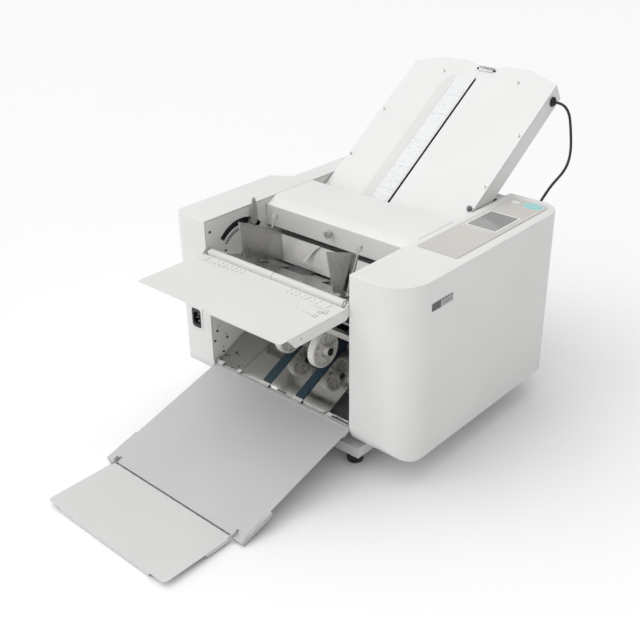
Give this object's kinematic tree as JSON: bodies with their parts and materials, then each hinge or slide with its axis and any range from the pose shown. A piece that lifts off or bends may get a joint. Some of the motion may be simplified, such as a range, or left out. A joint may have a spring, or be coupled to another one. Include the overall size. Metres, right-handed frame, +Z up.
{
  "type": "paper folding machine",
  "caption": "Desktop paper folding machine: friction feed under side guides, motor-set buckle plate, fold rollers, belt delivery and a folding receiving tray.",
  "frame": {"origin": "on the desk under the middle of the machine's bounding box, cable left out", "axes": "+X to the operator's right, +Y to the rear, +Z up; the paper path runs along Y"},
  "size_m": [0.54, 1.0616, 0.5706],
  "materials": {
    "cover_shell": "satin warm white moulding",
    "cover_paint": "satin warm white enamel",
    "crossbar_paint": "satin warm white enamel",
    "panel_paint": "satin warm white enamel",
    "tray_paint": "fine textured light grey powder coat",
    "frame_paint": "satin mid grey enamel",
    "satin_steel": "polished stainless sheet",
    "bright_steel": "turned or zinc plated steel",
    "arm_plastic": "mid grey moulding",
    "nylon": "off-white moulding",
    "gear_plastic": "black moulding",
    "foot_rubber": "matt black",
    "roller_rubber": "ground rubber sleeve on a steel shaft",
    "belt_fabric": "dark blue textile-backed belt",
    "overlay_film": "warm grey printed film, no lettering",
    "screen_glass": "grey touch screen, switched off",
    "key_plastic": "turquoise moulding",
    "badge": "blank plate, dark and grey",
    "inlet_plastic": "black moulding with nickel pins",
    "cable_jacket": "matt black jacket"
  },
  "bodies": {
    "machine": {"base_frame": "frame_paint", "foot_front_left": "foot_rubber", "foot_front_right": "foot_rubber", "foot_rear_left": "foot_rubber", "foot_rear_right": "foot_rubber", "left_side_plate": "panel_paint", "right_side_plate": "panel_paint", "front_tie_bar": "panel_paint", "right_cover": "cover_shell", "left_cover": "cover_shell", "rear_cover": "panel_paint", "control_overlay": "overlay_film", "touch_screen": "screen_glass", "badge_plate": "badge", "power_inlet": "inlet_plastic", "table_crossbar": "crossbar_paint", "feed_deck": "satin_steel", "stack_stop_plate": "nylon", "separator_finger": "frame_paint", "main_motor": "frame_paint", "upper_fold_plate": "tray_paint", "fold_plate_left_sheet": "cover_paint", "fold_plate_right_sheet": "cover_paint", "fold_plate_catch": "bright_steel", "cable_grommet": "foot_rubber", "lower_fold_plate": "bright_steel", "delivery_belt_left": "belt_fabric", "delivery_belt_right": "belt_fabric", "delivery_deck": "satin_steel", "arm_rod": "bright_steel", "plate_cable": "cable_jacket", "cable_gland": "foot_rubber"},
    "tray": {"receiving_tray": "tray_paint"},
    "extension": {"tray_extension": "tray_paint"},
    "table": {"feed_table": "tray_paint"},
    "lid": {"top_cover": "cover_shell"},
    "separator": {"separator_knob": "nylon"},
    "lever": {"pressure_lever": "nylon"},
    "left_guide": {"left_paper_guide": "satin_steel"},
    "right_guide": {"right_paper_guide": "satin_steel"},
    "left_lock": {"left_guide_knob": "bright_steel"},
    "right_lock": {"right_guide_knob": "bright_steel"},
    "key": {"start_key": "key_plastic"},
    "stopper": {"fold_stopper": "bright_steel"},
    "feeder": {"feed_roller": "roller_rubber"},
    "pinion": {"motor_pinion": "bright_steel"},
    "roller_1": {"fold_roller_1": "roller_rubber", "fold_gear_1": "gear_plastic"},
    "roller_2": {"fold_roller_2": "roller_rubber", "fold_gear_2": "gear_plastic"},
    "roller_3": {"fold_roller_3": "roller_rubber", "fold_gear_3": "gear_plastic"},
    "roller_4": {"fold_roller_4": "roller_rubber", "fold_gear_4": "gear_plastic"},
    "drive_roller": {"delivery_drive_roller": "bright_steel"},
    "front_roller": {"delivery_front_roller": "bright_steel"},
    "press_arm": {"wheel_arm": "arm_plastic"},
    "wheel_set": {"delivery_wheel_left": "nylon", "delivery_wheel_right": "nylon", "wheel_axle": "bright_steel"}
  },
  "joints": [
    {"name": "tray_fold", "type": "hinge", "parent": "machine", "child": "tray", "pos_m": [-0.01605, -0.11881, 0.09], "axis": [-1, 0, 0], "range_deg": [0, 45]},
    {"name": "extension_fold", "type": "hinge", "parent": "tray", "child": "extension", "pos_m": [-0.01605, -0.39281, 0.0112], "axis": [-1, 0, 0], "range_deg": [0, 160]},
    {"name": "table_fold", "type": "hinge", "parent": "machine", "child": "table", "pos_m": [-0.01605, -0.12781, 0.322], "axis": [-1, 0, 0], "range_deg": [0, 90]},
    {"name": "lid_open", "type": "hinge", "parent": "machine", "child": "lid", "pos_m": [-0.01605, 0.15319, 0.37], "axis": [-1, 0, 0], "range_deg": [0, 60]},
    {"name": "separator_setting", "type": "hinge", "parent": "lid", "child": "separator", "pos_m": [-0.02205, 0.01919, 0.352], "axis": [0, 1, 0], "range_deg": [-180, 180]},
    {"name": "pressure_setting", "type": "hinge", "parent": "machine", "child": "lever", "pos_m": [-0.18805, -0.04081, 0.289], "axis": [1, 0, 0], "range_deg": [-15, 70]},
    {"name": "left_guide_slide", "type": "slide", "parent": "machine", "child": "left_guide", "axis": [1, 0, 0], "range_m": [-0.043, 0.039]},
    {"name": "right_guide_slide", "type": "slide", "parent": "machine", "child": "right_guide", "axis": [1, 0, 0], "range_m": [-0.039, 0.043]},
    {"name": "left_lock_turn", "type": "hinge", "parent": "left_guide", "child": "left_lock", "pos_m": [-0.12705, -0.04281, 0.2919], "axis": [0, 0.4015, 0.9159], "range_deg": [-180, 180]},
    {"name": "right_lock_turn", "type": "hinge", "parent": "right_guide", "child": "right_lock", "pos_m": [0.09495, -0.06781, 0.301], "axis": [0, 0.4015, 0.9159], "range_deg": [-180, 180]},
    {"name": "start_press", "type": "slide", "parent": "machine", "child": "key", "axis": [0, 0, -1], "range_m": [0, 0.001], "stiffness_N_per_m": 800},
    {"name": "stopper_setting", "type": "slide", "parent": "machine", "child": "stopper", "axis": [0, 0.8348, 0.5505], "range_m": [-0.06, 0.27]},
    {"name": "feed_turn", "type": "hinge", "parent": "machine", "child": "feeder", "pos_m": [-0.01605, -0.00881, 0.254], "axis": [1, 0, 0], "continuous": true},
    {"name": "motor_turn", "type": "hinge", "parent": "machine", "child": "pinion", "pos_m": [-0.19605, 0.1019, 0.23717], "axis": [1, 0, 0], "continuous": true},
    {"name": "roller_3_turn", "type": "hinge", "parent": "machine", "child": "roller_3", "pos_m": [-0.01605, 0.0737, 0.24317], "axis": [1, 0, 0], "continuous": true},
    {"name": "roller_2_turn", "type": "hinge", "parent": "machine", "child": "roller_2", "pos_m": [-0.01605, 0.04119, 0.255], "axis": [1, 0, 0], "continuous": true},
    {"name": "roller_1_turn", "type": "hinge", "parent": "machine", "child": "roller_1", "pos_m": [-0.01605, 0.04119, 0.2896], "axis": [1, 0, 0], "continuous": true},
    {"name": "roller_4_turn", "type": "hinge", "parent": "machine", "child": "roller_4", "pos_m": [-0.01605, 0.03518, 0.22093], "axis": [1, 0, 0], "continuous": true},
    {"name": "drive_turn", "type": "hinge", "parent": "machine", "child": "drive_roller", "pos_m": [-0.01605, 0.02684, 0.1458], "axis": [1, 0, 0], "continuous": true},
    {"name": "front_turn", "type": "hinge", "parent": "machine", "child": "front_roller", "pos_m": [-0.01605, -0.10798, 0.08005], "axis": [1, 0, 0], "continuous": true},
    {"name": "arm_lift", "type": "hinge", "parent": "machine", "child": "press_arm", "pos_m": [-0.01605, 0.00919, 0.192], "axis": [-1, 0, 0], "range_deg": [0, 10]},
    {"name": "wheel_turn", "type": "hinge", "parent": "press_arm", "child": "wheel_set", "pos_m": [-0.01605, -0.05081, 0.1624], "axis": [1, 0, 0], "continuous": true}
  ],
  "couplings": [
    {"joint": "roller_3_turn", "follows": "motor_turn", "ratio": -0.66667},
    {"joint": "roller_2_turn", "follows": "motor_turn", "ratio": 0.66667},
    {"joint": "roller_1_turn", "follows": "motor_turn", "ratio": -0.66667},
    {"joint": "roller_4_turn", "follows": "motor_turn", "ratio": -0.66667},
    {"joint": "front_turn", "follows": "drive_turn", "ratio": 1},
    {"joint": "wheel_turn", "follows": "drive_turn", "ratio": -0.38}
  ]
}
